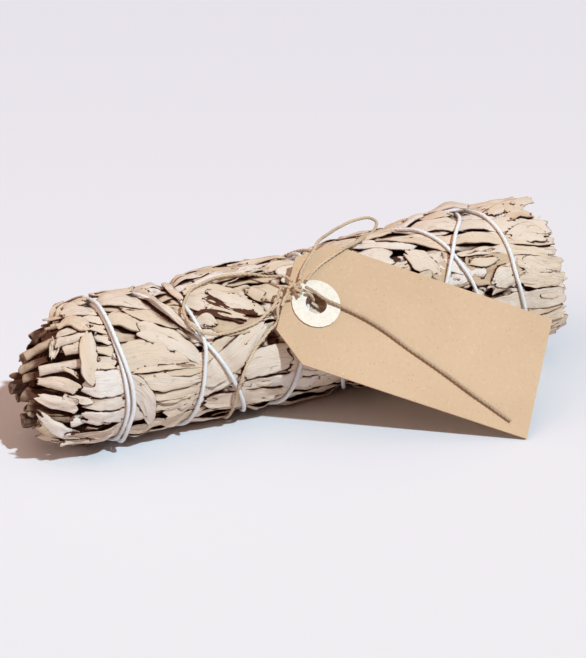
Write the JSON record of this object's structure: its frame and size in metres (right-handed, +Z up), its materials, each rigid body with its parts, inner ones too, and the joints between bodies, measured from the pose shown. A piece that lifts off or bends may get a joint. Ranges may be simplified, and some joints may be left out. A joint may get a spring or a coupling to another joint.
{
  "type": "sage bunch",
  "caption": "Dried sage bunch lying down, wound with cotton thread, with a card tag tied on by a bow of thin twine.",
  "frame": {"origin": "middle of the flat that the bunch rests on, below its middle", "axes": "+X along the bunch from the cut stems to the leaf tips, +Z up, the tag on the -Y side"},
  "size_m": [0.213, 0.1039, 0.0607],
  "materials": {
    "dried_leaf": "matt, crinkled, faintly downy",
    "woody_stem": "rough bark with a paler cut end",
    "cotton": "twisted cotton thread",
    "kraft_card": "matt kraft card with fine flecks",
    "cream_card": "smooth cream paper",
    "jute": "thin twisted plant-fibre twine"
  },
  "bodies": {
    "root": {"sage_leaves": "dried_leaf", "woody_stem_1": "woody_stem", "woody_stem_2": "woody_stem", "woody_stem_3": "woody_stem", "woody_stem_4": "woody_stem", "woody_stem_5": "woody_stem", "woody_stem_6": "woody_stem", "woody_stem_7": "woody_stem", "cotton_thread": "cotton", "paper_tag": "kraft_card", "tag_ring": "cream_card", "twine_knot": "jute", "twine_wrap": "jute", "twine_loop_right": "jute", "twine_loop_left": "jute", "twine_tail": "jute", "twine_short_end": "jute"}
  },
  "joints": []
}
